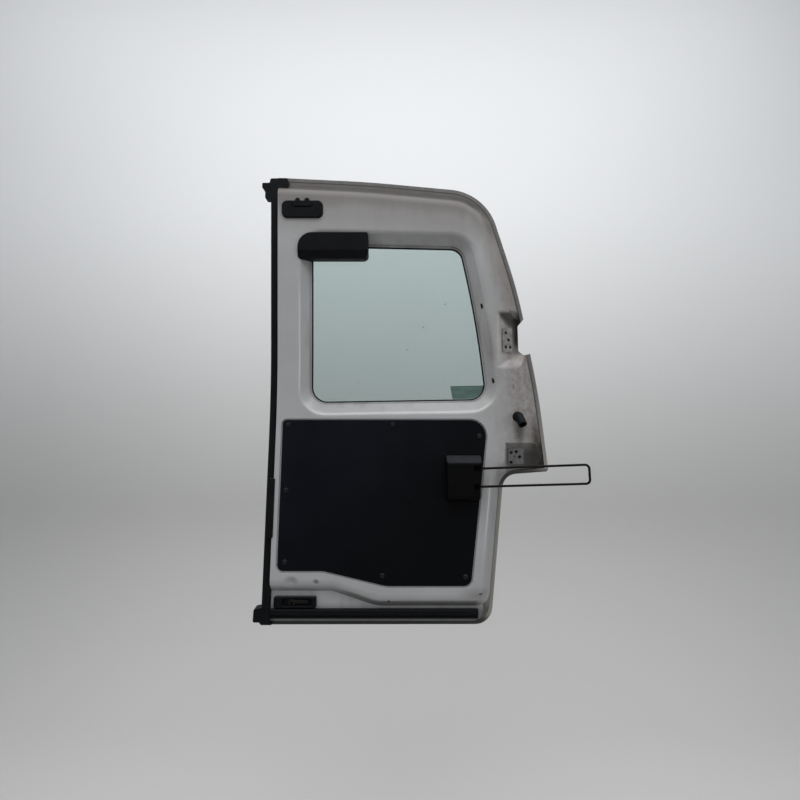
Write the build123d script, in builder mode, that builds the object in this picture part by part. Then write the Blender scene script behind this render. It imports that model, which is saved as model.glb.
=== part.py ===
"""Rear barn door of a small panel van, inner side towards -Y.

The origin is the middle of the lower hinge plate's face. +X runs from the free edge to the
hinge side, +Y from the load space outwards and +Z up. All sizes are millimetres.
"""
import math
import os

from build123d import *

os.makedirs("parts", exist_ok=True)

# Side profile: a plumb window half, a long bend and a lower half that leans in
sheet = 1.2
door_depth = 42
face_y = 15
bend_top_z = 300
bend_radius = 1400
lower_tilt = 10
reach = 1500

# Door outline seen from inside, and the flange left around the pressed pan
free_edge_x = -652
hinge_tip_x = 91
top_z = 766
bottom_z = -427
flange_top = 24
flange_side = 16
flange_low = 13
hem_width = 9
edge_setback = 12
notch_flange = 5

# Window
window_left_x = -553
window_right_x = -71
window_top_z = 576
window_sill_z = 141
window_slant = 71
window_bow = 12
window_bow_radius = 2600
window_top_fall = 9
window_sill_rise = 8
window_radius = 34
window_low_radius = 44
glass_thickness = 4
glass_overlap = 14
glass_gap = 3
bead_thickness = 3.8
bead_show = 3.5
window_flange = 20
well_lip = 5
well_slope = 26

# Pressed forms of the inner panel
pan_slope = 26
crest_radius = 24
well_radius = 18
shelf_depth = 22
step_low = 48
step_high = 84
trim_recess = 5
trim_gap = 4

# Hinge plates
plate_thickness = 4
plate_width = 42
plate_height = 44
upper_plate_width = 30
upper_plate_height = 66
upper_plate_x = -18
upper_plate_z = 312.5
upper_recess = 8
upper_turn = 25
upper_reach = 72
upper_lip = 22
upper_low_lip = 40
upper_crease = 70
upper_valley = 12
bolt_radius = 4.25
bolt_clearance = 1
lower_bolt_x = -13
lower_bolt_z = -4
lower_bolt_gap = 26
upper_bolt_x = -5
upper_bolt_gap = 39

# Trim board and check device
trim_thickness = 3
clip_radius = 7
clip_pin_radius = 3
housing_height = 38
housing_back = 79
housing_front = 14
housing_over = 36
housing_under = 38
pivot_x = -111
pivot_height = 22
wire_radius = 3
wire_clearance = 0.05
wire_gap = 46.2
wire_bend = 6.5
loop_length = 275
loop_bend = 10
loop_rest = 14
loop_rise = 1.5
leg_top_z = -32
bush_length = 12.5
bush_wall = 3.2

# Seals and edge pieces
seal_width = 22
seal_near = 10
seal_far = 34
seal_joint_z = -89
seal_top_gap = 68
seal_low_gap = 49
bottom_seal_height = 24
bottom_seal_rise = 14
lever_top = 33
lever_low = 115
lever_show = 3

# Latches and brake light
cover_width = 111
cover_height = 47
cover_rise = 6
cover_floor = 2
fork_width = 48
fork_height = 14
ear_radius = 6.5
ear_gap = 25
latch_width = 108
latch_height = 29
latch_rise = 12
light_overhang = 32
light_width = 189
light_over = 24
light_drop = 45
light_rise = 9

tilt = math.radians(lower_tilt)
flange_depth = door_depth - sheet
hem_depth = door_depth - 3 * sheet
window_depth = door_depth - glass_thickness - bead_thickness - sheet
wall_x = free_edge_x + edge_setback
well_reach = well_lip + well_slope + 20


def inset_corners(corners, widths):
    """Move each side of a clockwise outline inwards by its own width; radii follow."""
    count = len(corners)
    sides = []
    for index in range(count):
        x1, z1, _ = corners[index]
        x2, z2, _ = corners[(index + 1) % count]
        length = math.hypot(x2 - x1, z2 - z1)
        ux, uz = (x2 - x1) / length, (z2 - z1) / length
        sides.append((x1 + uz * widths[index], z1 - ux * widths[index], ux, uz))
    moved = []
    for index in range(count):
        x1, z1, ux, uz = sides[index - 1]
        x2, z2, vx, vz = sides[index]
        cross = ux * vz - uz * vx
        along = ((x2 - x1) * vz - (z2 - z1) * vx) / cross
        width = (widths[index - 1] + widths[index]) / 2
        radius = corners[index][2]
        if radius > 0:
            radius = radius - width if cross < 0 else radius + width
        moved.append((x1 + ux * along, z1 + uz * along, radius if radius > 0.5 else 0))
    return moved


def grown(corners, width):
    """The same outline, larger by one width all round."""
    return inset_corners(corners, [-width] * len(corners))


def outline(corners, plane=Plane.XZ):
    """Closed outline on a plane, each corner rounded by its own radius."""
    turned = sum(a[0] * b[1] - b[0] * a[1] for a, b in zip(corners, corners[1:] + corners[:1]))
    corners = corners if turned > 0 else corners[::-1]
    spans = []
    for index, (x, z, radius) in enumerate(corners):
        point = Vector(x, z)
        before = (Vector(*corners[index - 1][:2]) - point).normalized()
        after = (Vector(*corners[(index + 1) % len(corners)][:2]) - point).normalized()
        half = math.acos(max(-1, min(1, before.dot(after)))) / 2
        cut = radius / math.tan(half)
        nearest = point + (before + after).normalized() * (radius / math.sin(half) - radius)
        spans.append((point + before * cut, nearest, point + after * cut))
    with BuildSketch(plane) as shape:
        with BuildLine():
            for index, (start, nearest, end) in enumerate(spans):
                if corners[index][2] > 0:
                    ThreePointArc(start, nearest, end)
                Line(end, spans[(index + 1) % len(spans)][0])
        make_face()
    return shape.sketch


def bend_point(depth, turn):
    """Point (y, z) of the bend at a depth behind the inner face, a turn below its top."""
    radius = bend_radius + depth
    return (face_y - bend_radius + radius * math.cos(turn), bend_top_z - radius * math.sin(turn))


def slope_point(depth, run):
    """Point (y, z) of the lower half, a run down the slope from the bend."""
    y, z = bend_point(depth, tilt)
    return (y - run * math.sin(tilt), z - run * math.cos(tilt))


def band(near, far):
    """Side profile of the door between two depths behind its inner face."""
    with BuildSketch(Plane.YZ) as shape:
        with BuildLine():
            Line((face_y + near, reach), bend_point(near, 0))
            ThreePointArc(bend_point(near, 0), bend_point(near, tilt / 2), bend_point(near, tilt))
            Line(bend_point(near, tilt), slope_point(near, reach))
            Line(slope_point(near, reach), slope_point(far, reach))
            Line(slope_point(far, reach), bend_point(far, tilt))
            ThreePointArc(bend_point(far, tilt), bend_point(far, tilt / 2), bend_point(far, 0))
            Line(bend_point(far, 0), (face_y + far, reach))
            Line((face_y + far, reach), (face_y + near, reach))
        make_face()
    return shape.sketch


def slab(corners, near, far):
    """Solid with an outline seen from inside, between two depths of the bent door."""
    with BuildPart() as piece:
        extrude(outline(corners), amount=reach, both=True)
        extrude(band(near, far), amount=reach, both=True, mode=Mode.INTERSECT)
    return piece.part


def face_plane(x, z, depth=0):
    """Plane on the door at a depth behind the inner face, its normal towards the load space."""
    turn = min(tilt, math.asin(max(0, bend_top_z - z) / (bend_radius + depth)))
    if turn < tilt:
        y = bend_point(depth, turn)[0]
    else:
        bend_y, bend_z = bend_point(depth, tilt)
        y = bend_y - (bend_z - z) * math.tan(tilt)
    return Plane(origin=(x, y, z), x_dir=(1, 0, 0), z_dir=(0, -math.cos(turn), math.sin(turn)))


def depth_at(point):
    """Depth of a point behind the inner face."""
    if point.Z >= bend_top_z:
        return point.Y - face_y
    across, down = point.Y - face_y + bend_radius, bend_top_z - point.Z
    if math.atan2(down, across) <= tilt:
        return math.hypot(across, down) - bend_radius
    return across * math.cos(tilt) + down * math.sin(tilt) - bend_radius


def crest(part, depth):
    """Edges at a depth, without the free edge and the lines where the bend starts and ends."""
    chosen = []
    for edge in part.edges():
        points = [edge @ 0, edge @ 0.5, edge @ 1]
        if any(abs(depth_at(point) - depth) > 0.05 for point in points):
            continue
        level = abs(points[0].Z - points[2].Z) < 0.01
        if level and any(abs(points[1].Z - bend_point(depth, turn)[1]) < 0.1 for turn in (0, tilt)):
            continue
        if points[1].X > wall_x + 5:
            chosen.append(edge)
    return chosen


def by_window(edge, margin):
    """True for an edge within a margin of the window, where the well's own crest runs."""
    point = edge @ 0.5
    lean = window_slant / (window_top_z - window_sill_z)
    right = window_right_x - (point.Z - window_sill_z) * lean + margin
    return point.X < right and window_sill_z - margin < point.Z < window_top_z + margin


def long_edges(part):
    """The two long front edges of a seal strip, each in one run down the door."""
    return [edge for edge in part.edges() if abs((edge @ 0).X - (edge @ 1).X) < 0.01
            and all(abs(depth_at(edge @ t) - seal_near) < 0.05 for t in (0, 0.5, 1))]


# Corners are (x, z, radius), clockwise from the top of the free edge
door_corners = [
    (free_edge_x, top_z, 8),
    (free_edge_x + 252, top_z - 12, 3000),
    (hinge_tip_x - 165, top_z - 42, 144),
    (hinge_tip_x - 73, 446, 1400),
    (hinge_tip_x - 17, 161, 1500),
    (hinge_tip_x, -43, 8),
    (-31, -52, 40),
    (-76, bottom_z + 1, 45),
    (free_edge_x, bottom_z, 8),
]
notch_corners = [(16.5, 354, 6), (80, 429, 0), (80, 285, 0), (33, 273, 5), (18.5, 285, 8)]
step_low_z = bottom_z + step_low
step_high_z = bottom_z + step_high
pan_corners = inset_corners(
    door_corners,
    [flange_top] * 2 + [flange_side] * 3 + [flange_low] * 2 + [step_low, edge_setback],
)[:7]
pan_corners = [
    (wall_x, pan_corners[0][1], 0),
    *pan_corners[1:5],
    (*pan_corners[5][:2], 36),
    pan_corners[6],
    (-76 - flange_low + 6, step_low_z, 40),
    (-372, step_low_z, 120),
    (-485, step_high_z, 40),
    (wall_x, step_high_z, 0),
]
shelf_corners = [(wall_x, -300, 0), (-110, -300, 0), (-92, bottom_z + 15, 30), (wall_x, bottom_z + 15, 0)]
window_corners = [
    (window_left_x, window_top_z, window_radius),
    (window_right_x - window_slant, window_top_z - window_top_fall, window_radius + 4),
    (
        window_right_x - window_slant / 2 + window_bow,
        (window_top_z + window_sill_z) / 2,
        window_bow_radius,
    ),
    (window_right_x, window_sill_z + window_sill_rise, window_low_radius),
    (window_left_x, window_sill_z, window_low_radius),
]
trim_left_x = wall_x + 17
trim_top_z = window_sill_z - 45
trim_low_z = step_low_z + 57
trim_corners = [
    (trim_left_x, trim_top_z, 12),
    (-75, trim_top_z, 43),
    (-130, trim_low_z, 22),
    (-345, trim_low_z, 120),
    (-505, trim_low_z + 36, 40),
    (trim_left_x, trim_low_z + 36, 16),
]
lower_holes = [
    (lower_bolt_x, lower_bolt_z + lower_bolt_gap / 2),
    (lower_bolt_x, lower_bolt_z - lower_bolt_gap / 2),
    (0.5, 11.5),
    (9.5, -2.5),
]
upper_holes = [
    (upper_bolt_x, upper_bolt_gap / 2),
    (upper_bolt_x, -upper_bolt_gap / 2),
    (upper_bolt_x + 8.5, 0),
    (upper_bolt_x + 14.5, -upper_bolt_gap / 2),
]
clip_places = [
    (trim_left_x + 15, trim_top_z - 13),
    ((trim_left_x - 75) / 2 + 20, trim_top_z - 13),
    (-99, trim_top_z - 43),
    (trim_left_x + 15, (trim_top_z + trim_low_z) / 2 + 26),
    (trim_left_x + 18, trim_low_z + 57),
    (-355, trim_low_z + 24),
    (-143, trim_low_z + 21),
]
grommet_x, grommet_z = 5, 105
grommet_bore = 9
low_face = face_plane(0, 0)

# Hinge pockets, each where a plan (x, y) and a side profile (y, z) cross, open to the hinge side
turn = math.radians(upper_turn)
upper_seat = Plane(
    origin=(upper_plate_x, face_y + upper_recess, upper_plate_z),
    x_dir=(math.cos(turn), math.sin(turn), 0),
    z_dir=(math.sin(turn), -math.cos(turn), 0),
)
upper_floor = face_y + upper_recess + plate_thickness / math.cos(turn)
upper_front = face_y - 60
upper_knee = 33
upper_deep = upper_floor + upper_knee * math.tan(turn)
upper_top = upper_plate_z + upper_reach
upper_low = upper_plate_z - upper_reach
upper_foot = upper_low - 60
lip_top_y = face_y - 0.3
lip_low_y = face_plane(0, upper_low, -0.3).origin.Y
crease_x = upper_plate_x + (lip_low_y - upper_floor) / math.tan(turn)
upper_plan = [
    (crease_x - 60, upper_front, 0),
    (crease_x - 60, lip_low_y, 0),
    (crease_x, lip_low_y, upper_crease),
    (upper_plate_x + upper_knee, upper_deep, 20),
    (upper_plate_x + 200, upper_deep, 0),
    (upper_plate_x + 200, upper_front, 0),
]
upper_side = [
    (upper_front, upper_top + 60, 0),
    (lip_top_y, upper_top + 60, 0),
    (lip_top_y, upper_top, upper_lip),
    (face_y + 50, upper_top - 50 * 0.78, 0),
    (face_y + 50, upper_low + 50 * 1.3, 0),
    (lip_low_y, upper_low, upper_low_lip),
    (face_plane(0, upper_foot, -0.3).origin.Y, upper_foot, 0),
    (upper_front, upper_foot, 0),
]
lower_plan = [
    (-plate_width / 2 - 30, plate_thickness - 60, 0),
    (-plate_width / 2 - 3, plate_thickness, 4),
    (200, plate_thickness, 0),
    (200, plate_thickness - 60, 0),
]
lower_side = [
    (plate_thickness - 60, plate_height / 2 + 46, 0),
    (plate_thickness, plate_height / 2 + 5, 5),
    (plate_thickness, -200, 0),
    (plate_thickness - 60, -200, 0),
]


def pocket(plan, side, inset):
    """Hinge pocket, grown by the inset."""
    with BuildPart() as room:
        extrude(outline(grown(plan, inset), Plane.XY), amount=reach, both=True)
        extrude(outline(grown(side, inset), Plane.YZ), amount=reach, both=True, mode=Mode.INTERSECT)
    return room.part


def upper_pocket(inset):
    """Upper hinge pocket, with round valleys where its floor meets its top and its foot."""
    with BuildPart() as room:
        add(pocket(upper_plan, upper_side, inset))
        valleys = [
            edge for edge in room.edges() if edge.length > 5 and (edge @ 0.5).Y > face_y + 3
            and (edge @ 0.5).X < upper_plate_x + 160 and abs((edge @ 0.5).Z - upper_plate_z) > 20
        ]
        fillet(valleys, upper_valley + inset)
    return room.part


def pressing(inset):
    """Filled-in body of the inner panel; a second one, inset by the sheet, hollows it out."""
    shelf = slab(inset_corners(shelf_corners, [inset] * 4), shelf_depth + inset, door_depth + 4)
    trim_pocket = slab(grown(trim_corners, trim_gap + inset), -10, trim_recess + inset)
    notch_room = slab(grown(notch_corners, notch_flange + inset), -50, door_depth + 50)
    with BuildPart() as body:
        extrude(outline(inset_corners(pan_corners, [inset] * 11)), amount=reach, both=True)
        extrude(band(inset, door_depth + 4), amount=reach, both=True, mode=Mode.INTERSECT)
        chamfer(crest(body.part, inset), pan_slope - 0.586 * inset)
        extrude(outline(grown(window_corners, well_lip + inset)), amount=reach, both=True, mode=Mode.SUBTRACT)
        chamfer([edge for edge in crest(body.part, inset) if by_window(edge, 20)], well_slope - 0.586 * inset)
        fillet([edge for edge in crest(body.part, inset) if by_window(edge, well_reach)], well_radius - inset)
        pan_edges = [edge for edge in crest(body.part, inset) if not by_window(edge, well_reach)]
        fillet(pan_edges, crest_radius - inset)
        add(shelf)
        add(trim_pocket, mode=Mode.SUBTRACT)
        add(upper_pocket(inset), mode=Mode.SUBTRACT)
        add(pocket(lower_plan, lower_side, inset), mode=Mode.SUBTRACT)
        add(notch_room, mode=Mode.SUBTRACT)
    return body.part


pan_body = pressing(0)
pan_core = pressing(sheet)

# Inner panel: pressed pan, spot-weld flange, window flange and the holes in them
flange_ring = slab(inset_corners(door_corners, [1.5 * sheet] * 9), flange_depth - sheet, flange_depth)
window_ring = slab(grown(window_corners, window_flange), window_depth, window_depth + sheet)
window_room = slab(grown(window_corners, window_flange), window_depth + sheet, door_depth + 10)
window_hole = slab(window_corners, -50, door_depth + 50)
notch = slab(notch_corners, -50, door_depth + 50)

with BuildPart() as inner_panel:
    add(pan_body)
    extrude(band(-20, flange_depth), amount=reach, both=True, mode=Mode.INTERSECT)
    add(flange_ring)
    add(pan_core, mode=Mode.SUBTRACT)
    add(window_room, mode=Mode.SUBTRACT)
    add(window_ring)
    add(window_hole, mode=Mode.SUBTRACT)
    add(notch, mode=Mode.SUBTRACT)
    with BuildSketch(Plane.XZ):
        with Locations(*lower_holes):
            Circle(bolt_radius + bolt_clearance)
        with Locations((-87, 405), (-57, 202)):
            SlotOverall(14, 5, rotation=102)
        with Locations((-338.5, -360)):
            Circle(3)
        with Locations((-106, -341)):
            SlotOverall(10, 3)
    extrude(amount=120, both=True, mode=Mode.SUBTRACT)
    with BuildSketch(upper_seat):
        with Locations(*upper_holes):
            Circle(bolt_radius + bolt_clearance)
    extrude(amount=-plate_thickness - 12, mode=Mode.SUBTRACT)
    for clip_x, clip_z in clip_places:
        with BuildSketch(face_plane(clip_x, clip_z)):
            Circle(clip_pin_radius + 0.4)
        extrude(amount=12, both=True, mode=Mode.SUBTRACT)
    with BuildSketch(face_plane(grommet_x, grommet_z)):
        Circle(grommet_bore)
    extrude(amount=6, both=True, mode=Mode.SUBTRACT)
inner_panel.part.label = "inner_panel"
export_step(inner_panel.part, "parts/inner_panel.step")

# Outer skin: one sheet with a rebate round the glass, its edge hemmed over the flange
hem_inner = grown(door_corners, -hem_width)
skin_room = slab(grown(door_corners, -sheet), flange_depth - sheet, flange_depth)
hem_room = slab(hem_inner, hem_depth - 1, flange_depth)
rebate_corners = grown(window_corners, glass_overlap + glass_gap)
rebate = slab(grown(rebate_corners, sheet), window_depth + sheet, flange_depth)
rebate_hole = slab(rebate_corners, -50, door_depth + 50)
with BuildPart() as outer_skin:
    extrude(outline(door_corners), amount=reach, both=True)
    extrude(band(hem_depth, door_depth), amount=reach, both=True, mode=Mode.INTERSECT)
    add(skin_room, mode=Mode.SUBTRACT)
    add(hem_room, mode=Mode.SUBTRACT)
    add(rebate)
    add(rebate_hole, mode=Mode.SUBTRACT)
    add(notch, mode=Mode.SUBTRACT)
outer_skin.part.label = "outer_skin"
export_step(outer_skin.part, "parts/outer_skin.step")

# Bonded window
glass_corners = grown(window_corners, glass_overlap)
with BuildPart() as window_glass:
    extrude(outline(glass_corners), amount=reach, both=True)
    extrude(
        band(door_depth - glass_thickness, door_depth), amount=reach, both=True, mode=Mode.INTERSECT
    )
window_glass.part.label = "window_glass"
export_step(window_glass.part, "parts/window_glass.step")

with BuildPart() as glass_bead:
    extrude(outline(grown(glass_corners, -1)), amount=reach, both=True)
    extrude(
        band(window_depth + sheet, door_depth - glass_thickness),
        amount=reach,
        both=True,
        mode=Mode.INTERSECT,
    )
    extrude(outline(grown(window_corners, -bead_show)), amount=reach, both=True, mode=Mode.SUBTRACT)
glass_bead.part.label = "glass_bead"
export_step(glass_bead.part, "parts/glass_bead.step")

# Trim board in its shallow recess, and the push clips that hold it
trim_face = trim_recess - trim_thickness
with BuildPart() as trim_panel:
    extrude(outline(trim_corners), amount=reach, both=True)
    extrude(band(trim_face, trim_recess), amount=reach, both=True, mode=Mode.INTERSECT)
    for clip_x, clip_z in clip_places:
        with BuildSketch(face_plane(clip_x, clip_z)):
            Circle(clip_pin_radius + 0.4)
        extrude(amount=12, both=True, mode=Mode.SUBTRACT)
trim_panel.part.label = "trim_panel"
export_step(trim_panel.part, "parts/trim_panel.step")

clip_lift = clip_radius**2 / (2 * bend_radius)
with BuildPart() as trim_clips:
    for clip_x, clip_z in clip_places:
        with BuildSketch(face_plane(clip_x, clip_z, trim_face - clip_lift)):
            Circle(clip_radius)
        extrude(amount=2.5, taper=35)
        with BuildSketch(face_plane(clip_x, clip_z, trim_face - clip_lift)):
            Circle(clip_pin_radius)
        extrude(amount=-(trim_thickness + 8))
trim_clips.part.label = "trim_clips"
export_step(trim_clips.part, "parts/trim_clips.step")

# Check device: a housing on the trim board, two bushes and a swinging wire loop
along = (0, math.sin(tilt), math.cos(tilt))
outward = Vector(0, -math.cos(tilt), math.sin(tilt))
leg_top = leg_top_z / math.cos(tilt)
leg_low = leg_top - wire_gap
slot_height = 2 * wire_radius + 8
block_top = leg_top - slot_height / 2
block_low = leg_low + slot_height / 2
bush_radius = wire_radius + bush_wall
housing_top = leg_top + housing_over
housing_low = leg_low - housing_under
housing_corners = [
    (pivot_x - housing_back, housing_top, 0),
    (pivot_x + housing_front, housing_top, 0),
    (pivot_x + housing_front - 9, housing_low, 0),
    (pivot_x - housing_back, housing_low, 0),
]
housing_side = [
    (housing_low, -trim_face, 0),
    (housing_low + 6, housing_height, 10),
    (housing_top - 20, housing_height, 14),
    (housing_top - 3, 0.35 * housing_height, 12),
    (housing_top, -trim_face, 0),
]
pivot = Vector(pivot_x, low_face.origin.Y, 0) + outward * pivot_height
pivot_top = pivot + Vector(*along) * block_top
pivot_low = pivot + Vector(*along) * block_low
seal_side = Plane(origin=(0, low_face.origin.Y, 0), x_dir=along, z_dir=(1, 0, 0))
with BuildPart() as check_housing:
    extrude(outline(housing_corners, low_face.offset(-trim_face)), amount=housing_height + trim_face)
    extrude(outline(housing_side, seal_side), amount=reach, both=True, mode=Mode.INTERSECT)
    ends = check_housing.faces().sort_by(Axis.X)
    fillet([edge for edge in ends[0].edges() if depth_at(edge @ 0.5) < 0], 7)
    ends = check_housing.faces().sort_by(Axis.X)
    fillet([edge for edge in ends[-1].edges() if depth_at(edge @ 0.5) < 0], 4)
    with BuildSketch(low_face.offset(pivot_height - wire_radius - 4)):
        with Locations((pivot_x - 9, leg_top), (pivot_x - 9, leg_low)):
            Rectangle(housing_back, slot_height, align=(Align.MIN, Align.CENTER))
    extrude(amount=housing_height, mode=Mode.SUBTRACT)
    with BuildSketch(Plane(origin=pivot_top, z_dir=along)):
        Circle(bush_radius)
    extrude(amount=-bush_length, mode=Mode.SUBTRACT)
    with BuildSketch(Plane(origin=pivot_low, z_dir=along)):
        Circle(bush_radius)
    extrude(amount=bush_length, mode=Mode.SUBTRACT)
check_housing.part.label = "check_housing"
export_step(check_housing.part, "parts/check_housing.step")

with BuildPart() as check_bush_upper:
    with BuildSketch(Plane(origin=pivot_top, z_dir=along)):
        Circle(bush_radius)
        Circle(wire_radius + wire_clearance, mode=Mode.SUBTRACT)
    extrude(amount=-bush_length)
check_bush_upper.part.label = "check_bush_upper"
export_step(check_bush_upper.part, "parts/check_bush_upper.step")

with BuildPart() as check_bush_lower:
    with BuildSketch(Plane(origin=pivot_low, z_dir=along)):
        Circle(bush_radius)
        Circle(wire_radius + wire_clearance, mode=Mode.SUBTRACT)
    extrude(amount=bush_length)
check_bush_lower.part.label = "check_bush_lower"
export_step(check_bush_lower.part, "parts/check_bush_lower.step")

rest = math.radians(loop_rest)
leg_way = Vector(1, 0, 0) * math.cos(rest) + outward * math.sin(rest)
loop_plane = Plane(origin=pivot, x_dir=leg_way, z_dir=leg_way.cross(Vector(*along)))
loop_lift = loop_length * math.tan(math.radians(loop_rise))
with BuildPart() as check_loop:
    with BuildLine(loop_plane) as loop_path:
        FilletPolyline(
            (0, block_top - bush_length + 1),
            (0, leg_top),
            (loop_length, leg_top + loop_lift),
            (loop_length, leg_low + loop_lift),
            (0, leg_low),
            (0, block_low + bush_length - 1),
            radius=(wire_bend, loop_bend, loop_bend, wire_bend),
        )
    with BuildSketch(Plane(origin=loop_path.line @ 0, z_dir=loop_path.line % 0)):
        Circle(wire_radius)
    sweep()
check_loop.part.label = "check_loop"
export_step(check_loop.part, "parts/check_loop.step")

# Rubber seals on the free edge and along the bottom shelf
seal_left = wall_x - seal_width
seal_top_z = top_z - seal_top_gap
seal_low_z = bottom_z + seal_low_gap


def strip(low_z, high_z):
    """Outline of a straight length of the free-edge seal."""
    return [(seal_left, high_z, 0), (wall_x, high_z, 0), (wall_x, low_z, 0), (seal_left, low_z, 0)]


with BuildPart() as edge_seal_upper:
    add(slab(strip(seal_joint_z, seal_top_z), seal_near, seal_far))
    fillet(long_edges(edge_seal_upper.part), 7)
edge_seal_upper.part.label = "edge_seal_upper"
export_step(edge_seal_upper.part, "parts/edge_seal_upper.step")

with BuildPart() as edge_seal_lower:
    add(slab(strip(seal_low_z, seal_joint_z), seal_near, seal_far))
    fillet(long_edges(edge_seal_lower.part), 7)
edge_seal_lower.part.label = "edge_seal_lower"
export_step(edge_seal_lower.part, "parts/edge_seal_lower.step")

seal_high = seal_low_z / math.cos(tilt)
seal_low = seal_high - bottom_seal_height
bottom_seal_corners = [
    (seal_high, -shelf_depth, 0),
    (seal_low, -shelf_depth, 0),
    (seal_low, -shelf_depth + 8, 2.5),
    (seal_low + 6, -shelf_depth + 8, 2.5),
    (seal_low + 8, -shelf_depth + 5, 1),
    (seal_low + 10, -shelf_depth + bottom_seal_rise, 4),
    (seal_high, -shelf_depth + bottom_seal_rise, 4),
]
bottom_seal_left = wall_x + 2
bottom_seal_right = shelf_corners[1][0] - 2
with BuildPart() as bottom_seal:
    extrude(
        outline(bottom_seal_corners, seal_side.offset(bottom_seal_left)),
        amount=bottom_seal_right - bottom_seal_left,
    )
bottom_seal.part.label = "bottom_seal"
export_step(bottom_seal.part, "parts/bottom_seal.step")

# Moulded caps where the seals turn the two corners of the free edge
cap_x = wall_x - 32
with BuildPart() as top_corner_cap:
    add(slab(
        [
            (cap_x - 13, top_z - 25, 3),
            (cap_x + 7, top_z - 25, 3),
            (cap_x + 10, top_z - 13, 4),
            (wall_x + 24, top_z - 12, 5),
            (wall_x + 27, top_z - 37, 4),
            (wall_x, top_z - 37, 0),
            (wall_x, seal_top_z, 0),
            (cap_x - 5, seal_top_z, 3),
            (cap_x - 5, top_z - 43, 4),
            (cap_x - 13, top_z - 39, 3),
        ],
        12,
        hem_depth,
    ))
    add(pan_body, mode=Mode.SUBTRACT)
top_corner_cap.part.label = "top_corner_cap"
export_step(top_corner_cap.part, "parts/top_corner_cap.step")

with BuildPart() as bottom_corner_cap:
    add(slab(
        [
            (seal_left, seal_low_z, 0),
            (wall_x, seal_low_z, 0),
            (wall_x, bottom_z + 16, 0),
            (wall_x + 9, bottom_z + 14, 2),
            (wall_x + 5, bottom_z + 9, 3),
            (seal_left + 1, bottom_z + 9, 4),
            (seal_left - 4, bottom_z + 15, 2),
            (seal_left - 20, bottom_z + 15, 4),
            (seal_left - 19, seal_low_z - 3, 4),
        ],
        12,
        hem_depth,
    ))
    add(pan_body, mode=Mode.SUBTRACT)
bottom_corner_cap.part.label = "bottom_corner_cap"
export_step(bottom_corner_cap.part, "parts/bottom_corner_cap.step")

# Release lever set in the free edge
with BuildPart() as release_lever:
    add(slab(
        [
            (wall_x - 14, seal_joint_z + lever_top, 5),
            (wall_x + lever_show, seal_joint_z + lever_top, 2),
            (wall_x + lever_show, seal_joint_z - lever_low, 2),
            (wall_x - 14, seal_joint_z - lever_low, 5),
        ],
        -2.5,
        seal_near,
    ))
    add(pan_body, mode=Mode.SUBTRACT)
release_lever.part.label = "release_lever"
export_step(release_lever.part, "parts/release_lever.step")

# Upper latch: a cover on the window bar, open at its top where the fork's two ears rise
cover_x = wall_x + 67
cover_z = top_z - 102
cover_top = cover_height / 2
cover_face = Plane(origin=(cover_x, face_y, cover_z), x_dir=(1, 0, 0), z_dir=(0, -1, 0))
with BuildPart() as upper_latch_cover:
    with BuildSketch(cover_face):
        RectangleRounded(cover_width, cover_height, 15)
    extrude(amount=cover_rise)
    fillet(upper_latch_cover.faces().sort_by(Axis.Y)[0].edges(), cover_rise / 2)
    with BuildSketch(cover_face.offset(cover_floor)):
        with Locations((0, cover_top)):
            RectangleRounded(fork_width + 12, 2 * fork_height + 12, 8)
    extrude(amount=cover_rise, mode=Mode.SUBTRACT)
upper_latch_cover.part.label = "upper_latch_cover"
export_step(upper_latch_cover.part, "parts/upper_latch_cover.step")

with BuildPart() as upper_latch_fork:
    with BuildSketch(cover_face.offset(cover_floor)):
        with Locations((0, cover_top - fork_height / 2 - 1)):
            RectangleRounded(fork_width, fork_height, 4)
        with Locations((-ear_gap / 2, cover_top), (ear_gap / 2, cover_top)):
            Circle(ear_radius)
        with Locations((0, cover_top - 1)):
            Circle(ear_radius - 2, mode=Mode.SUBTRACT)
    extrude(amount=3)
upper_latch_fork.part.label = "upper_latch_fork"
export_step(upper_latch_fork.part, "parts/upper_latch_fork.step")

# Lower latch on the bottom shelf
latch_v = (bottom_z + 65) / math.cos(tilt)
latch_x = wall_x + 63
with BuildPart() as lower_latch_case:
    with BuildSketch(low_face.offset(-shelf_depth)):
        with Locations((latch_x, latch_v)):
            RectangleRounded(latch_width, latch_height, 5)
    extrude(amount=latch_rise)
    chamfer(lower_latch_case.faces().sort_by(Axis(low_face.origin, outward))[-1].edges(), 1.5)
    with BuildSketch(low_face.offset(-shelf_depth + 4)):
        with Locations((latch_x + 6, latch_v)):
            RectangleRounded(latch_width - 30, latch_height - 9, 4)
    extrude(amount=latch_rise, mode=Mode.SUBTRACT)
lower_latch_case.part.label = "lower_latch_case"
export_step(lower_latch_case.part, "parts/lower_latch_case.step")

with BuildPart() as lower_latch_claw:
    with BuildSketch(low_face.offset(-shelf_depth + 4)):
        with Locations((latch_x - 8, latch_v)):
            Circle(9)
            Rectangle(6, 12, align=(Align.CENTER, Align.MAX), mode=Mode.SUBTRACT)
        with Locations((latch_x + 16, latch_v + 2)):
            RectangleRounded(36, 8, 2)
    extrude(amount=6)
lower_latch_claw.part.label = "lower_latch_claw"
export_step(lower_latch_claw.part, "parts/lower_latch_claw.step")

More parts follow.
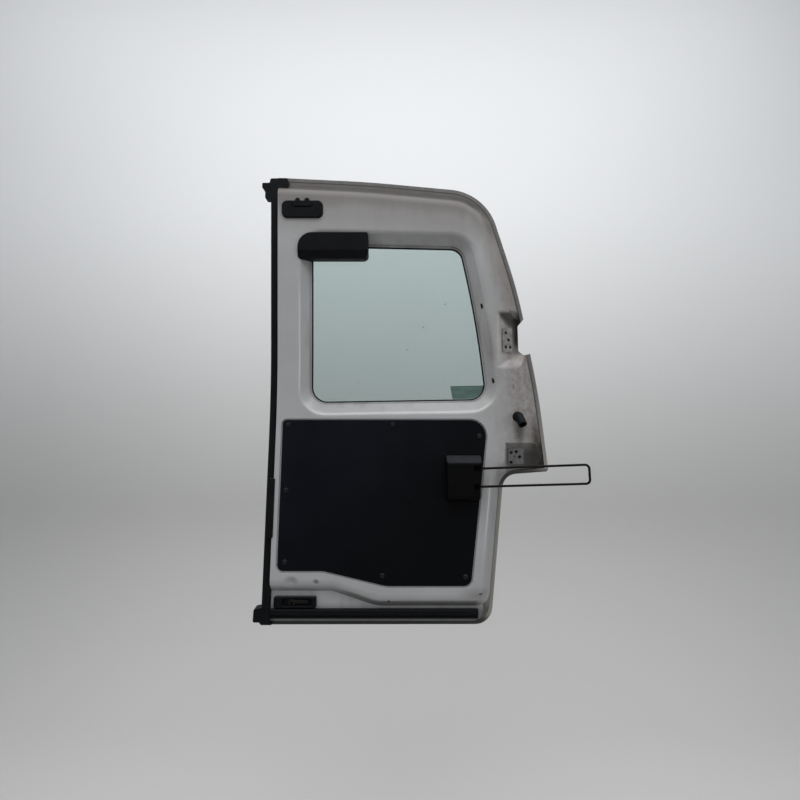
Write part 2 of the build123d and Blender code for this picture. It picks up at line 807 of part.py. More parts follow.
# High-level brake light: a moulded cover filling the window's top corner, its lens to the glass
light_left = window_left_x - light_overhang
light_right = light_left + light_width
light_top = window_top_z + light_over
light_low = window_top_z - light_drop
with BuildPart() as brake_light_cover:
    add(slab(
        [
            (light_left, light_top, 38),
            (light_right, light_top, 5),
            (light_right, light_low, 14),
            (light_left, light_low, 8),
        ],
        -light_rise,
        window_depth - 2,
    ))
    with BuildSketch(Plane.YZ):
        with BuildLine():
            Polyline(
                (face_y - light_rise - 3, light_low + 22),
                (face_y - light_rise, light_low + 22),
                (face_y + 3, light_low - 3),
                (face_y - light_rise - 3, light_low - 3),
                close=True,
            )
        make_face()
    extrude(amount=reach, both=True, mode=Mode.SUBTRACT)
    add(pan_body, mode=Mode.SUBTRACT)
brake_light_cover.part.label = "brake_light_cover"
export_step(brake_light_cover.part, "parts/brake_light_cover.step")

with BuildPart() as brake_light_lens:
    add(slab(
        [
            (window_left_x + 17, window_top_z - 10, 4),
            (light_right - 6, window_top_z - 10, 4),
            (light_right - 6, light_low + 6, 4),
            (window_left_x + 17, light_low + 6, 4),
        ],
        window_depth - 2,
        door_depth - glass_thickness - 1.5,
    ))
brake_light_lens.part.label = "brake_light_lens"
export_step(brake_light_lens.part, "parts/brake_light_lens.step")

# Hinge plates, bare since the hinges are off
with BuildPart() as lower_hinge_plate:
    with BuildSketch(Plane.XZ):
        RectangleRounded(plate_width, plate_height, 4)
        with Locations(*lower_holes):
            Circle(bolt_radius, mode=Mode.SUBTRACT)
        with Locations((-4, -0.5)):
            Circle(2, mode=Mode.SUBTRACT)
    extrude(amount=-plate_thickness)
lower_hinge_plate.part.label = "lower_hinge_plate"
export_step(lower_hinge_plate.part, "parts/lower_hinge_plate.step")

with BuildPart() as upper_hinge_plate:
    with BuildSketch(upper_seat):
        RectangleRounded(upper_plate_width, upper_plate_height, 5)
        with Locations(*upper_holes):
            Circle(bolt_radius, mode=Mode.SUBTRACT)
    extrude(amount=-plate_thickness)
upper_hinge_plate.part.label = "upper_hinge_plate"
export_step(upper_hinge_plate.part, "parts/upper_hinge_plate.step")

# Rubber wiring sleeve, its drooping end cut off open
sleeve_foot = 14
sleeve_radius = 11.5
sleeve_height = 12.5
sleeve_length = 30
sleeve_face = face_plane(grommet_x, grommet_z, -sleeve_foot**2 / (2 * bend_radius))
sleeve_way = Vector(0.2, -0.67, -0.715).normalized()
sleeve_root = sleeve_face.origin + sleeve_face.z_dir * sleeve_height
with BuildPart() as wiring_grommet:
    with BuildSketch(sleeve_face):
        Circle(sleeve_foot)
    extrude(amount=4, taper=14)
    with BuildSketch(sleeve_face):
        Circle(sleeve_radius)
    extrude(amount=sleeve_height)
    with Locations(sleeve_root):
        Sphere(sleeve_radius)
    with BuildSketch(Plane(origin=sleeve_root, z_dir=sleeve_way)):
        Circle(sleeve_radius)
    extrude(amount=sleeve_length)
    with BuildSketch(Plane(origin=sleeve_root + sleeve_way * sleeve_length, z_dir=sleeve_way)):
        Circle(grommet_bore)
    extrude(amount=4 - sleeve_length, mode=Mode.SUBTRACT)
wiring_grommet.part.label = "wiring_grommet"
export_step(wiring_grommet.part, "parts/wiring_grommet.step")
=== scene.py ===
"""Looks of the rear barn door: materials, a film on the glass, studio and camera. Metres, CAD frame."""
import math

import bpy
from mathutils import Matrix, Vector


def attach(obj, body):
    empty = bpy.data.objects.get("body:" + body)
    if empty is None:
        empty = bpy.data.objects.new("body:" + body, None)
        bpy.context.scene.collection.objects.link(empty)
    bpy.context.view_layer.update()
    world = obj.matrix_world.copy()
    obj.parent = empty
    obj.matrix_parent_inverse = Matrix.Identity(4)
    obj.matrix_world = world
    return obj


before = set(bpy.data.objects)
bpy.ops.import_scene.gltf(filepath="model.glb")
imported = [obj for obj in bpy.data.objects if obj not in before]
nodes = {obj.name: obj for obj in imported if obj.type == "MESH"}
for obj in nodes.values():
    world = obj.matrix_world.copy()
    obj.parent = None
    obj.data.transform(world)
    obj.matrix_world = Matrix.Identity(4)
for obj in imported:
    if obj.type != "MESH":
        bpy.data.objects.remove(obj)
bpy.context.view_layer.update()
scene = bpy.context.scene

# Door surface, as in the part's source: plumb above the bend, leaning below it
FACE_Y = 0.015
BEND_TOP = 0.300
BEND_RADIUS = 1.400
TILT = math.radians(10)
BEND_FOOT = BEND_TOP - BEND_RADIUS * math.sin(TILT)
LOW_Y = FACE_Y - BEND_RADIUS * (1 - math.cos(TILT)) - BEND_FOOT * math.tan(TILT)

# Door outline: falling top edge, round corner, slanted edge over the hinge notch
TOP_LEFT_X, TOP_LEFT_Z = -0.652, 0.766
TOP_FALL = 0.085
CORNER_X, CORNER_Z = -0.181, 0.589
CORNER_RADIUS = 0.144
SLANT_FOOT_X, SLANT_FOOT_Z = 0.018, 0.446
SLANT = 0.331

# Dust and painted shade along the outline: how far inside the edge it starts, and where it is full
TOP_DUST_AND_SHADE = (0.10, 0.035)
TOP_SHADE_HAZE = (0.19, 0.08)
SIDE_DUST_AND_SHADE = (0.085, 0.03)

# Heights of the dirt and painted shade by the hinges, and depth of the rim's rounded crown: none, full,
# full, none
UPPER_POCKET = (0.235, 0.28, 0.385, 0.40)
UPPER_SOOT_AND_SHADE = (0.262, 0.315, 0.368, 0.395)
LOWER_POCKET = (-0.07, -0.04, 0.022, 0.05)
WING_LIP = (-0.09, -0.072, -0.045, -0.032)
CROWN_DEPTH = (0.0, 0.014, 0.030, 0.044)

# Heights at the bottom of the door, from none to full, downwards
UNDERSIDE_Z = (-0.325, -0.345)
STEP_Z = (-0.366, -0.392)
HEM_Z = (-0.412, -0.417)
OUTER_HEM_Z = (-0.40, -0.415)

# Paint, and the dirt on it
PAINT = (0.315, 0.317, 0.320)
PAINT_WORN = (0.290, 0.291, 0.292)
CREASE_DUST_AND_SHADE = (0.15, 0.14, 0.125)
RIM_PAINTED_SHADE = (0.165, 0.152, 0.143)
RIM_DUST_AND_SHADE = (0.11, 0.098, 0.09)
CROWN_DIRT_AND_SHADE = (0.028, 0.026, 0.024)
SIDE_GRIME_AND_SHADE = (0.16, 0.138, 0.124)
SMEAR = (0.05, 0.042, 0.035)
EDGE_GRIME_AND_SHADE = (0.06, 0.052, 0.044)
POCKET_DUST_AND_SHADE = (0.165, 0.146, 0.134)
POCKET_ROOF_SHADE = (0.052, 0.049, 0.046)
UNDERSIDE_SHADE = (0.045, 0.042, 0.040)
SOOT_AND_SHADE = (0.013, 0.0125, 0.012)
CHIP = (0.085, 0.05, 0.03)
ROAD_DUST = (0.17, 0.155, 0.14)
HEM_PALE = (0.235, 0.215, 0.188)
HEM_DIRT_AND_SHADE = (0.05, 0.046, 0.042)
HEM_FOOT = (0.016, 0.015, 0.014)
LIP_DIRT_AND_SHADE = (0.022, 0.018, 0.014)

# Plastics, board, rubber and metals
PLASTIC = (0.003, 0.0033, 0.0043)
CLIP_PLASTIC = (0.0034, 0.004, 0.0054)
HOUSING_PLASTIC = (0.0012, 0.0013, 0.0016)
PLASTIC_DUST = (0.014, 0.014, 0.0138)
SETTLED_DUST_AND_HIGHLIGHT = (0.026, 0.027, 0.031)
BOARD = (0.0017, 0.0025, 0.0046)
BOARD_PALE = (0.0025, 0.0036, 0.0066)
BOARD_DARK = (0.0012, 0.0014, 0.0018)
BOARD_SCRATCH = (0.011, 0.012, 0.0135)
RUBBER = (0.0026, 0.0034, 0.0046)
RUBBER_DUST = (0.0085, 0.0095, 0.0102)
WIRE = (0.003, 0.003, 0.0034)
WIRE_WORN = (0.03, 0.029, 0.028)
SHADED_STEEL = (0.035, 0.034, 0.032)
GREASE = (0.006, 0.0056, 0.005)
PLATE = (0.182, 0.178, 0.171)
PLATE_WORN = (0.135, 0.131, 0.125)
LOWER_PLATE = (0.12, 0.12, 0.123)
LOWER_PLATE_WORN = (0.076, 0.076, 0.079)
PLATE_STAIN = (0.095, 0.078, 0.062)

# Window, film and lens
GLASS = (0.535, 0.625, 0.61)
GLASS_GRIME = (0.52, 0.607, 0.592)
GLASS_SPECK = (0.06, 0.075, 0.07)
FILM = (0.052, 0.098, 0.083)
FILM_CREASE = (0.075, 0.13, 0.112)
LENS = (0.30, 0.006, 0.006)
LENS_DEEP = (0.16, 0.003, 0.003)

# Soot spots by the free edge: place, radius
SOOT_SPOTS = (
    ((-0.631, 0.015, 0.208), 0.004),
    ((-0.602, 0.015, 0.212), 0.003),
)
# Brown-grey smears: place, radius, stretch per axis, share
SMEARS = (
    ((0.008, -0.004, 0.064), 0.042, (2.0, 1, 0.8), 0.75),     # under the wiring sleeve
    ((0.056, 0.004, 0.045), 0.075, (2.2, 1, 0.8), 0.95),      # beside the lower hinge plate
    ((-0.004, 0.009, 0.186), 0.012, (3.0, 1, 1), 0.6),        # two drips
    ((-0.006, 0.010, 0.205), 0.008, (2.0, 1, 1), 0.5),
    ((-0.112, -0.076, -0.342), 0.045, (0.7, 1, 1.8), 0.42),   # lower hinge-side corner
    ((-0.0495, -0.022, -0.06), 0.062, (5, 0.4, 1), 0.3),      # inner edge under the wing
    ((-0.523, -0.0715, -0.313), 0.0065, (1, 1, 1.3), 0.8),    # in the smaller dent
)
# Dents by the lower free corner: place, radius, stretch per axis
DENTS = (
    ((-0.586, -0.0717, -0.314), 0.018, (0.8, 1, 1)),
    ((-0.523, -0.0715, -0.313), 0.009, (1, 1, 1)),
)
# Specks of dirt on the glass
SPECK_RADIUS = 0.0035
SPECKS = (
    (-0.426, 0.049, 0.199),
    (-0.245, 0.053, 0.351),
    (-0.290, 0.053, 0.289),
    (-0.185, 0.053, 0.415),
)

# Ranges that most of a noise, and the dulling of the gloss, fall in
NOISE_SPAN = (0.3, 0.7)
DULL_SPAN = (0, 0.8)
# Cells per metre of the moulded grain, the board's pressed grain and the lens's prisms
PLASTIC_GRAIN = 1500
BOARD_GRAIN = 620
LENS_PRISMS = 420
# Colour sockets of the mix node, which has one set for each kind of data
MIX_SHARE, MIX_FIRST, MIX_SECOND, MIX_RESULT = 0, 6, 7, 2

# Film: depth behind the door's face, edges, lean of the left edge, arc along the bead, grid
FILM_DEPTH = 0.0379
FILM_LEFT = -0.171
FILM_TOP = 0.189
FILM_LEAN = 0.006
FILM_ARC_X, FILM_ARC_Z = -0.1195, 0.1932
FILM_ARC_RADIUS = 0.0404
SILL_SLOPE = 0.0166
FILM_COLUMNS, FILM_ROWS = 28, 14

# Studio sweep: floor, wall and the curve between them
FLOOR_Z = -1.25
FLOOR_FRONT = -7.0
WALL_Y = 1.6
WALL_TOP = 7.0
SWEEP_RADIUS = 0.8
SWEEP_STEPS = 16
SWEEP_HALF_WIDTH = 9.0
# Sweep colours at the foot and at the top: painted light, paler upwards
SWEEP_LOW = (0.46, 0.46, 0.45)
SWEEP_HIGH = (0.75, 0.76, 0.77)
SWEEP_SHADING_Z = (-0.7, 1.4)

SKY = (0.92, 0.95, 1.0, 1)
SKY_STRENGTH = 0.35

# Camera fitted to the photograph
CAMERA_PLACE = (-0.3098, -1.3848, 0.1496)
SENSOR_WIDTH = 36
PHOTO_WIDTH = 800
FOCAL_PIXELS = 518.5


class Shade:
    """A procedural material: thin helpers around its node tree."""

    def __init__(self, name):
        self.material = bpy.data.materials.new(name)
        self.material.use_nodes = True
        self.tree = self.material.node_tree
        self.shader = self.tree.nodes["Principled BSDF"]
        coordinates = self.tree.nodes.new("ShaderNodeTexCoord")
        self.place = coordinates.outputs["Object"]
        self.facing = coordinates.outputs["Normal"]

    def feed(self, socket, value):
        """Link an output to a socket, or set the socket's own value."""
        if isinstance(value, bpy.types.NodeSocket):
            self.tree.links.new(value, socket)
        elif socket.type == "RGBA":
            socket.default_value = (*value, 1)
        else:
            socket.default_value = value

    def set(self, **values):
        """Set or link inputs of the shader by name, with _ for a space."""
        for name, value in values.items():
            self.feed(self.shader.inputs[name.replace("_", " ")], value)

    def calc(self, operation, *values):
        """Apply one maths node to one or two values."""
        node = self.tree.nodes.new("ShaderNodeMath")
        node.operation = operation
        for socket, value in zip(node.inputs, values):
            self.feed(socket, value)
        return node.outputs[0]

    def chain(self, operation, values):
        """Apply a maths node to any number of values, two at a time."""
        total = values[0]
        for value in values[1:]:
            total = self.calc(operation, total, value)
        return total

    def add(self, *values):
        return self.chain("ADD", values)

    def subtract(self, *values):
        return self.chain("SUBTRACT", values)

    def multiply(self, *values):
        return self.chain("MULTIPLY", values)

    def largest(self, *values):
        return self.chain("MAXIMUM", values)

    def noise(self, scale, detail, rough, stretch=(1, 1, 1), shift=(0, 0, 0), warp=0.0):
        mapping = self.tree.nodes.new("ShaderNodeMapping")
        mapping.inputs["Scale"].default_value = stretch
        mapping.inputs["Location"].default_value = shift
        self.feed(mapping.inputs["Vector"], self.place)
        node = self.tree.nodes.new("ShaderNodeTexNoise")
        node.inputs["Scale"].default_value = scale
        node.inputs["Detail"].default_value = detail
        node.inputs["Roughness"].default_value = rough
        node.inputs["Distortion"].default_value = warp
        self.feed(node.inputs["Vector"], mapping.outputs[0])
        return node.outputs[0]

    def cells(self, scale):
        """Distance to the nearest of many scattered points."""
        node = self.tree.nodes.new("ShaderNodeTexVoronoi")
        node.inputs["Scale"].default_value = scale
        self.feed(node.inputs["Vector"], self.place)
        return node.outputs["Distance"]

    def ramp(self, value, span, onto=(0, 1)):
        """Smooth step from the first of onto at the start of a span to the second at its end."""
        node = self.tree.nodes.new("ShaderNodeMapRange")
        node.interpolation_type = "SMOOTHSTEP"
        self.feed(node.inputs["Value"], value)
        for ends, limits in (("From", span), ("To", onto)):
            node.inputs[ends + " Min"].default_value = limits[0]
            node.inputs[ends + " Max"].default_value = limits[1]
        return node.outputs[0]

    def band(self, value, limits):
        """Rise from 0 to 1 between the first two limits and fall back between the last two."""
        return self.multiply(self.ramp(value, limits[:2]), self.ramp(value, limits[2:], (1, 0)))

    def mix(self, share, first, second):
        node = self.tree.nodes.new("ShaderNodeMix")
        node.data_type = "RGBA"
        self.feed(node.inputs[MIX_SHARE], share)
        self.feed(node.inputs[MIX_FIRST], first)
        self.feed(node.inputs[MIX_SECOND], second)
        return node.outputs[MIX_RESULT]

    def lay(self, under, colour, mask, share=1.0):
        """Lay a colour over what is under it, where a mask says so and thinned to a share."""
        return self.mix(self.multiply(mask, share), under, colour)

    def split(self, vector):
        """X, Y and Z of a vector."""
        node = self.tree.nodes.new("ShaderNodeSeparateXYZ")
        self.feed(node.inputs[0], vector)
        return node.outputs

    def near(self, point, radius, stretch=(1, 1, 1)):
        """1 at a point, falling to 0 at a radius; a stretch over 1 narrows it along that axis."""
        gap = self.tree.nodes.new("ShaderNodeVectorMath")
        gap.operation = "SUBTRACT"
        self.feed(gap.inputs[0], self.place)
        gap.inputs[1].default_value = point
        scaled = self.tree.nodes.new("ShaderNodeVectorMath")
        scaled.operation = "MULTIPLY"
        self.feed(scaled.inputs[0], gap.outputs[0])
        scaled.inputs[1].default_value = stretch
        size = self.tree.nodes.new("ShaderNodeVectorMath")
        size.operation = "LENGTH"
        self.feed(size.inputs[0], scaled.outputs[0])
        return self.ramp(size.outputs["Value"], (0, radius), (1, 0))

    def bump(self, *layers):
        """Stack (height, strength, distance) layers into the shader's normal."""
        normal = None
        for height, strength, distance in layers:
            node = self.tree.nodes.new("ShaderNodeBump")
            node.inputs["Strength"].default_value = strength
            node.inputs["Distance"].default_value = distance
            self.feed(node.inputs["Height"], height)
            if normal is not None:
                self.feed(node.inputs["Normal"], normal)
            normal = node.outputs[0]
        self.feed(self.shader.inputs["Normal"], normal)


def door_depth(shade):
    """Depth behind the inner face, from the plumb half and the leaning half."""
    _, y, z = shade.split(shade.place)
    plumb = shade.subtract(y, FACE_Y)
    lean = shade.subtract(y, LOW_Y, shade.multiply(z, math.tan(TILT)))
    return shade.largest(plumb, shade.multiply(lean, math.cos(TILT)))


def rim_masks(shade, ragged):
    """Masks of dust and painted shade: the top edge, its round corner, the slanted edge, and a band
    below the top edge.
    """
    def within(distance, edge, dust):
        start, full = dust
        return shade.ramp(shade.add(distance, ragged), (edge - start, edge - full))

    x, _, z = shade.split(shade.place)
    rise = shade.add(z, shade.multiply(shade.subtract(x, TOP_LEFT_X), TOP_FALL))
    top = within(rise, TOP_LEFT_Z, TOP_DUST_AND_SHADE)
    painted_shade_haze = within(rise, TOP_LEFT_Z, TOP_SHADE_HAZE)
    gap_x = shade.largest(shade.subtract(x, CORNER_X), 0.0)
    gap_z = shade.largest(shade.subtract(z, CORNER_Z), 0.0)
    reach = shade.add(shade.multiply(gap_x, gap_x), shade.multiply(gap_z, gap_z))
    corner = shade.multiply(within(shade.calc("SQRT", reach), CORNER_RADIUS, SIDE_DUST_AND_SHADE),
                            shade.ramp(z, (CORNER_Z - 0.03, CORNER_Z + 0.04)))
    past = shade.add(x, shade.multiply(shade.subtract(z, SLANT_FOOT_Z), SLANT))
    slant = shade.multiply(within(past, SLANT_FOOT_X, SIDE_DUST_AND_SHADE),
                           shade.ramp(z, (SLANT_FOOT_Z - 0.07, SLANT_FOOT_Z - 0.03)))
    return top, corner, slant, painted_shade_haze


def soot_and_shade_mask(shade, depth, ragged):
    """Soot and painted shade in both hinge pockets and on the bottom step and hem, with sooty spots by
    the free edge.
    """
    x, _, z = shade.split(shade.place)
    smeared = shade.add(x, shade.multiply(ragged, 0.25))
    upper = shade.multiply(shade.ramp(depth, (0.010, 0.020)), shade.ramp(smeared, (-0.012, 0.008)),
                           shade.band(z, UPPER_SOOT_AND_SHADE))
    lower = shade.multiply(shade.ramp(depth, (0.012, 0.02)), shade.band(z, LOWER_POCKET),
                           shade.ramp(smeared, (-0.03, 0.04), (0.3, 1)), 0.85)
    step = shade.multiply(shade.ramp(z, STEP_Z), shade.ramp(depth, (0.008, 0.018)), 0.55)
    spots = [shade.near(*spot) for spot in SOOT_SPOTS]
    return shade.largest(upper, lower, step, shade.ramp(z, HEM_Z), *spots)


def clean_paint(shade):
    """Silver-grey paint, a little worn in clouds."""
    return shade.mix(shade.ramp(shade.noise(5, detail=4, rough=0.6), (0.35, 0.7)), PAINT, PAINT_WORN)


def sheet_bumps(shade, waves):
    """Bump layers of painted sheet: slow waves and fine orange peel."""
    return ((shade.noise(7, detail=2, rough=0.5), waves, 0.004),
            (shade.noise(900, detail=2, rough=0.5), 0.03, 0.0004))


def body_paint(name):
    """Gloss paint, dusty, grimy and sooty, with painted shade in its creases, rim, hinge pockets and
    undersides.
    """
    shade = Shade(name)
    x, _, z = shade.split(shade.place)
    _, facing_y, facing_z = shade.split(shade.facing)
    depth = door_depth(shade)
    speck = shade.noise(70, detail=6, rough=0.7)
    streak = shade.noise(26, detail=5, rough=0.65, stretch=(1, 1, 0.16))
    ragged = shade.multiply(shade.subtract(streak, 0.5), 0.1)
    # Darker the deeper the sheet lies behind the face: dust and painted shade in creases and recesses
    crease = shade.ramp(shade.add(depth, ragged), (0.014, 0.05))
    colour = shade.lay(clean_paint(shade), CREASE_DUST_AND_SHADE, crease, 0.5)

    # Rim darkening: dust and painted shade on the top edge, its corner and crown; painted shade alone in
    # the band below the top edge and along the slanted edge
    top, corner, slant, painted_shade_haze = rim_masks(shade, shade.multiply(ragged, 0.4))
    rim = shade.largest(top, corner)
    crown = shade.multiply(shade.largest(top, shade.multiply(corner, 0.35)),
                           shade.band(depth, CROWN_DEPTH))
    colour = shade.lay(colour, RIM_PAINTED_SHADE, shade.largest(painted_shade_haze, slant), 0.6)
    colour = shade.lay(colour, RIM_DUST_AND_SHADE, rim, 0.4)
    colour = shade.lay(colour, CROWN_DIRT_AND_SHADE, crown, 0.95)

    # The hinge side is darker: grime and painted shade
    side = shade.ramp(shade.add(x, ragged), (-0.115, 0.03))
    grime = shade.multiply(side, shade.ramp(speck, NOISE_SPAN, (0.4, 0.8)))
    colour = shade.lay(colour, SIDE_GRIME_AND_SHADE, grime)
    for point, radius, stretch, share in SMEARS:
        colour = shade.lay(colour, SMEAR, shade.near(point, radius, stretch), share)
    # Deep flanges on the hinge side are darker still: grime and painted shade
    edge = shade.multiply(side, shade.ramp(depth, (0.024, 0.036)))
    colour = shade.lay(colour, EDGE_GRIME_AND_SHADE, edge, 0.6)

    # Upper hinge pocket: dust and painted shade, with the darkest painted shade on its down-facing roof
    # and on the plate's seat
    pocket = shade.multiply(shade.ramp(depth, (-0.0005, 0.004)), shade.ramp(x, (-0.08, -0.055)),
                            shade.band(z, UPPER_POCKET))
    slope = shade.add(z, shade.calc("MINIMUM", x, -0.012))
    roof = shade.multiply(pocket, shade.ramp(slope, (0.322, 0.347)))
    seat = shade.ramp(facing_y, (-0.75, -0.95), (0.68, 0.97))
    colour = shade.lay(colour, POCKET_DUST_AND_SHADE, pocket, 0.75)
    colour = shade.lay(colour, POCKET_ROOF_SHADE, roof, seat)

    # Painted shade on down-facing slopes at the bottom step
    under = shade.multiply(shade.ramp(facing_z, (-0.25, -0.7)), shade.ramp(z, UNDERSIDE_Z))
    # Sooty darkening with painted shade in the hinge pockets and at the bottom
    soot_and_shade = soot_and_shade_mask(shade, depth, ragged)
    chipped = shade.ramp(shade.noise(210, detail=3, rough=0.5), (0.68, 0.72))
    colour = shade.lay(colour, UNDERSIDE_SHADE, under, 0.72)
    colour = shade.lay(colour, SOOT_AND_SHADE, soot_and_shade)
    colour = shade.lay(colour, CHIP, chipped, shade.ramp(grime, (0.3, 0.5)))

    dull = shade.largest(soot_and_shade, grime, rim, slant, roof)
    shade.set(Base_Color=colour, Coat_Weight=shade.ramp(dull, DULL_SPAN, (0.5, 0)), Coat_Roughness=0.12,
              Roughness=shade.add(shade.ramp(speck, NOISE_SPAN, (0.3, 0.4)),
                                  shade.multiply(dull, 0.4)),
              Specular_IOR_Level=shade.ramp(dull, DULL_SPAN, (0.5, 0.1)))
    dents = shade.add(*[shade.near(*dent) for dent in DENTS])
    shade.bump(*sheet_bumps(shade, 0.1), (speck, 0.03, 0.001), (shade.multiply(dents, -1), 1.0, 0.008))
    return shade.material


def outer_paint(name):
    """The same paint outside: road dust thickens downwards, and the hem is darkened like the rim, with
    dirt and painted shade.
    """
    shade = Shade(name)
    x, _, z = shade.split(shade.place)
    _, facing_y, facing_z = shade.split(shade.facing)
    speck = shade.noise(70, detail=6, rough=0.7)
    streak = shade.noise(22, detail=5, rough=0.65, stretch=(1, 1, 0.12))
    dust = shade.multiply(shade.ramp(z, (0.35, -0.40)), shade.ramp(streak, (0.25, 0.75), (0.15, 0.55)))
    colour = shade.lay(clean_paint(shade), ROAD_DUST, dust)

    # Faces turned up or inward are darkened: dirt and painted shade, paler towards the lower hinge-side
    # corner, near-black at the bottom hem and on the lip by the lower hinge
    inward = shade.ramp(facing_y, (-0.2, -0.7))
    hem = shade.largest(inward, shade.ramp(facing_z, (0.4, 0.8)))
    pale = shade.multiply(shade.ramp(z, (0.28, -0.10), (0.1, 0.85)), shade.ramp(x, (-0.25, -0.15)))
    dark = shade.multiply(hem, shade.subtract(1.0, pale))
    foot = shade.multiply(hem, shade.ramp(z, OUTER_HEM_Z), shade.ramp(x, (-0.06, -0.10)))
    lip = shade.multiply(inward, shade.band(z, WING_LIP), shade.ramp(x, (-0.085, -0.06)))
    colour = shade.lay(colour, HEM_PALE, hem, pale)
    colour = shade.lay(colour, HEM_DIRT_AND_SHADE, dark, shade.ramp(speck, NOISE_SPAN, (0.75, 0.9)))
    colour = shade.lay(colour, HEM_FOOT, foot)
    colour = shade.lay(colour, LIP_DIRT_AND_SHADE, lip, 0.92)

    dull = shade.largest(dust, dark)
    shade.set(Base_Color=colour, Coat_Weight=shade.ramp(dull, DULL_SPAN, (0.6, 0)), Coat_Roughness=0.08,
              Roughness=shade.add(shade.ramp(speck, NOISE_SPAN, (0.28, 0.36)),
                                  shade.multiply(dull, 0.3)))
    shade.bump(*sheet_bumps(shade, 0.08))
    return shade.material


def black_plastic(name, tone=PLASTIC, rough=0.42, gloss=0.09):
    """Satin black moulding with a fine grain, light scuffs, and settled dust with a painted highlight on
    what faces up.
    """
    shade = Shade(name)
    scuff = shade.noise(60, detail=6, rough=0.7, stretch=(1, 1, 0.5))
    dust = shade.ramp(shade.noise(14, detail=5, rough=0.7), (0.5, 0.8))
    # Lighter where it faces up: settled dust and a painted highlight
    upward = shade.ramp(shade.split(shade.facing)["Z"], (0.35, 0.8))
    colour = shade.lay(tone, PLASTIC_DUST, dust, 0.2)
    colour = shade.lay(colour, SETTLED_DUST_AND_HIGHLIGHT, upward, shade.ramp(scuff, (0.2, 0.6), (0.4, 0.9)))
    shade.set(Base_Color=colour, Specular_IOR_Level=gloss,
              Roughness=shade.ramp(scuff, (0.3, 0.75), (rough - 0.06, rough + 0.16)))
    shade.bump((shade.cells(PLASTIC_GRAIN), 0.2, 0.0002), (scuff, 0.06, 0.0008))
    return shade.material


def trim_board(name):
    """Black hardboard with a pressed grain, bluish towards its upper free corner, and scratches."""
    shade = Shade(name)
    x, _, z = shade.split(shade.place)
    cloud = shade.noise(6, detail=5, rough=0.65)
    scratch = shade.noise(16, detail=4, rough=0.7, stretch=(1, 1, 9), warp=0.4)
    colour = shade.mix(shade.ramp(cloud, (0.3, 0.75)), BOARD, BOARD_PALE)
    colour = shade.lay(colour, BOARD_DARK, shade.ramp(shade.subtract(x, z), (-0.5, 0.0)))
    colour = shade.lay(colour, BOARD_SCRATCH, shade.ramp(scratch, (0.66, 0.76)), 0.4)
    shade.set(Base_Color=colour, Roughness=shade.ramp(cloud, NOISE_SPAN, (0.4, 0.55)),
              Specular_IOR_Level=0.08)
    shade.bump((shade.cells(BOARD_GRAIN), 0.3, 0.0004),
               (shade.noise(260, detail=4, rough=0.6), 0.2, 0.0006))
    return shade.material


def rubber(name):
    """Matte black rubber, greyed by dust in patches."""
    shade = Shade(name)
    dust = shade.ramp(shade.noise(40, detail=6, rough=0.7, stretch=(1, 1, 0.4)), (0.45, 0.75))
    shade.set(Base_Color=shade.lay(RUBBER, RUBBER_DUST, dust, 0.4),
              Roughness=shade.ramp(dust, (0, 1), (0.5, 0.75)), Specular_IOR_Level=0.09)
    shade.bump((shade.noise(700, detail=3, rough=0.6), 0.2, 0.0003),
               (shade.noise(45, detail=3, rough=0.6), 0.15, 0.001))
    return shade.material


def coated_wire(name):
    """Black-coated steel wire, worn a little brighter in patches."""
    shade = Shade(name)
    worn = shade.ramp(shade.noise(150, detail=6, rough=0.75), (0.64, 0.74))
    shade.set(Base_Color=shade.lay(WIRE, WIRE_WORN, worn, 0.6), Metallic=shade.multiply(worn, 0.5),
              Roughness=shade.ramp(worn, (0, 1), (0.5, 0.6)), Specular_IOR_Level=0.1)
    shade.bump((shade.noise(900, detail=3, rough=0.6), 0.12, 0.0003))
    return shade.material


def latch_steel(name):
    """Dull steel with old grease, darkened nearly to black as painted shade inside the latch case."""
    shade = Shade(name)
    grease = shade.ramp(shade.noise(160, detail=5, rough=0.7), (0.28, 0.5))
    # Steel and grease colours both darkened as painted shade inside the latch case
    shade.set(Base_Color=shade.mix(grease, SHADED_STEEL, GREASE), Metallic=0.4,
              Roughness=shade.ramp(grease, (0, 1), (0.4, 0.6)), Specular_IOR_Level=0.2)
    shade.bump((grease, 0.15, 0.0004))
    return shade.material


def plate_paint(name, clean, worn):
    """Hinge plate: body paint dulled by grime, worn to grey primer and stained in patches."""
    shade = Shade(name)
    chip = shade.ramp(shade.noise(95, detail=6, rough=0.7), (0.44, 0.58))
    stain = shade.ramp(shade.noise(60, detail=6, rough=0.75, shift=(3, 1, 2)), (0.5, 0.68))
    colour = shade.lay(shade.mix(chip, clean, worn), PLATE_STAIN, stain, 0.6)
    shade.set(Base_Color=colour, Roughness=shade.ramp(chip, (0, 1), (0.4, 0.6)))
    shade.bump((chip, 0.2, 0.0004), (stain, 0.15, 0.0005))
    return shade.material


def window_glass(name):
    """Clear glass with a green tint, a little grime and a few specks."""
    shade = Shade(name)
    grime = shade.ramp(shade.noise(11, detail=6, rough=0.7), (0.45, 0.8))
    colour = shade.mix(grime, GLASS, GLASS_GRIME)
    for point in SPECKS:
        colour = shade.lay(colour, GLASS_SPECK, shade.near(point, SPECK_RADIUS))
    shade.set(Base_Color=colour, Roughness=shade.multiply(grime, 0.05), Transmission_Weight=1.0,
              IOR=1.45)
    return shade.material


def green_film(name):
    """Faded green film stuck to the glass, with fine creases."""
    shade = Shade(name)
    fold = shade.noise(60, detail=4, rough=0.6, stretch=(0.35, 1, 1.6))
    shade.set(Base_Color=shade.mix(shade.ramp(fold, (0.35, 0.7)), FILM, FILM_CREASE), Roughness=0.5)
    shade.bump((fold, 0.4, 0.0008))
    return shade.material


